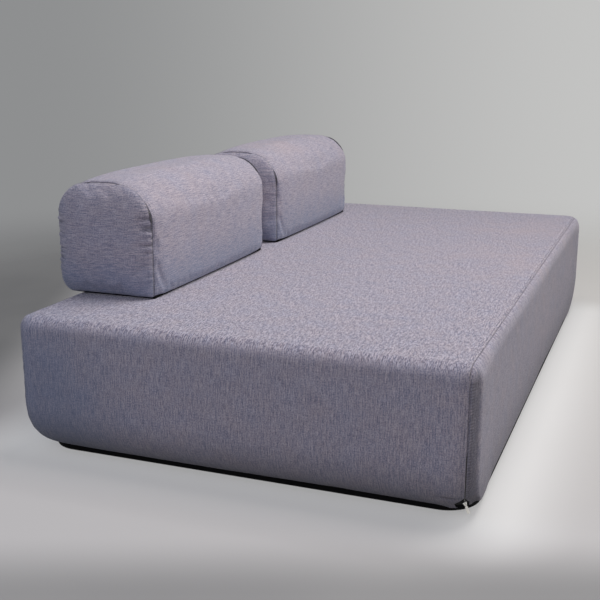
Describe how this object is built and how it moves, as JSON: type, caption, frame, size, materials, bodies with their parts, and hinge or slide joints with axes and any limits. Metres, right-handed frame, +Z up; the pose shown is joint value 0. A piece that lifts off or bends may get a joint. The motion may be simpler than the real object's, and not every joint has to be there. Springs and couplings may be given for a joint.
{
  "type": "backless divan with loose bolsters",
  "caption": "Low fully upholstered backless divan, rounded seat block with ends tucked under, and loose weighted block bolsters that lift off its rear edge.",
  "frame": {"origin": "on the floor, under the middle of the whole outline seen from above, bolsters included", "axes": "+Z up, +X along the length towards the right end as seen from the front long side, +Y towards the rear long side where the bolsters stand"},
  "size_m": [2.22, 1.262, 0.722],
  "materials": {
    "melange_cloth": "matte",
    "foam": "matte",
    "wadding": "matte",
    "timber": "matte",
    "webbing": "matte",
    "black_cloth": "matte",
    "black_plastic": "matte",
    "screw_steel": "satin",
    "steel_plate": "satin",
    "zip_metal": "satin"
  },
  "bodies": {
    "seat_block": {"corner_block_front_left": "timber", "corner_block_front_right": "timber", "corner_block_rear_left": "timber", "corner_block_rear_right": "timber", "end_foam_left": "foam", "end_foam_right": "foam", "front_rail": "timber", "glide_front_left": "black_plastic", "glide_front_middle": "black_plastic", "glide_front_right": "black_plastic", "glide_rear_left": "black_plastic", "glide_rear_middle": "black_plastic", "glide_rear_right": "black_plastic", "glide_screw_front_left": "screw_steel", "glide_screw_front_middle": "screw_steel", "glide_screw_front_right": "screw_steel", "glide_screw_rear_left": "screw_steel", "glide_screw_rear_middle": "screw_steel", "glide_screw_rear_right": "screw_steel", "left_cross_rail": "timber", "left_end_rail": "timber", "middle_cross_rail": "timber", "rear_rail": "timber", "right_cross_rail": "timber", "right_end_rail": "timber", "seat_cover_front_panel": "melange_cloth", "seat_cover_rear_panel": "melange_cloth", "seat_cover_wrap": "melange_cloth", "seat_foam": "foam", "seat_wadding": "wadding", "side_foam_front": "foam", "side_foam_rear": "foam", "underside_panel": "black_cloth", "webbing_mat": "webbing", "zip_coil": "black_plastic"},
    "bolster_left": {"bolster_left_base_board": "timber", "bolster_left_cover_wrap": "melange_cloth", "bolster_left_foam_core": "foam", "bolster_left_inner_end_panel": "melange_cloth", "bolster_left_outer_end_panel": "melange_cloth", "bolster_left_underside": "black_cloth", "bolster_left_wadding": "wadding", "bolster_left_weight_plate": "steel_plate"},
    "bolster_right": {"bolster_right_base_board": "timber", "bolster_right_cover_wrap": "melange_cloth", "bolster_right_foam_core": "foam", "bolster_right_inner_end_panel": "melange_cloth", "bolster_right_outer_end_panel": "melange_cloth", "bolster_right_underside": "black_cloth", "bolster_right_wadding": "wadding", "bolster_right_weight_plate": "steel_plate"},
    "zip_slider": {"zip_slider": "zip_metal"},
    "zip_puller": {"zip_puller": "zip_metal"}
  },
  "joints": [
    {"name": "bolster_left_lift", "type": "slide", "parent": "seat_block", "child": "bolster_left", "axis": [0, 0, 1], "range_m": [0, 0.4]},
    {"name": "bolster_right_lift", "type": "slide", "parent": "seat_block", "child": "bolster_right", "axis": [0, 0, 1], "range_m": [0, 0.4]},
    {"name": "zip_slider_travel", "type": "hinge", "parent": "seat_block", "child": "zip_slider", "pos_m": [-0.95514, -0.58109, 0.154], "axis": [-0.19, 0.9818, 0], "range_deg": [0, 51.6]},
    {"name": "zip_puller_swing", "type": "hinge", "parent": "zip_slider", "child": "zip_puller", "pos_m": [-1.04418, -0.60113, 0.03888], "axis": [-0.4513, 0.8149, -0.3637], "range_deg": [-45, 110]}
  ]
}
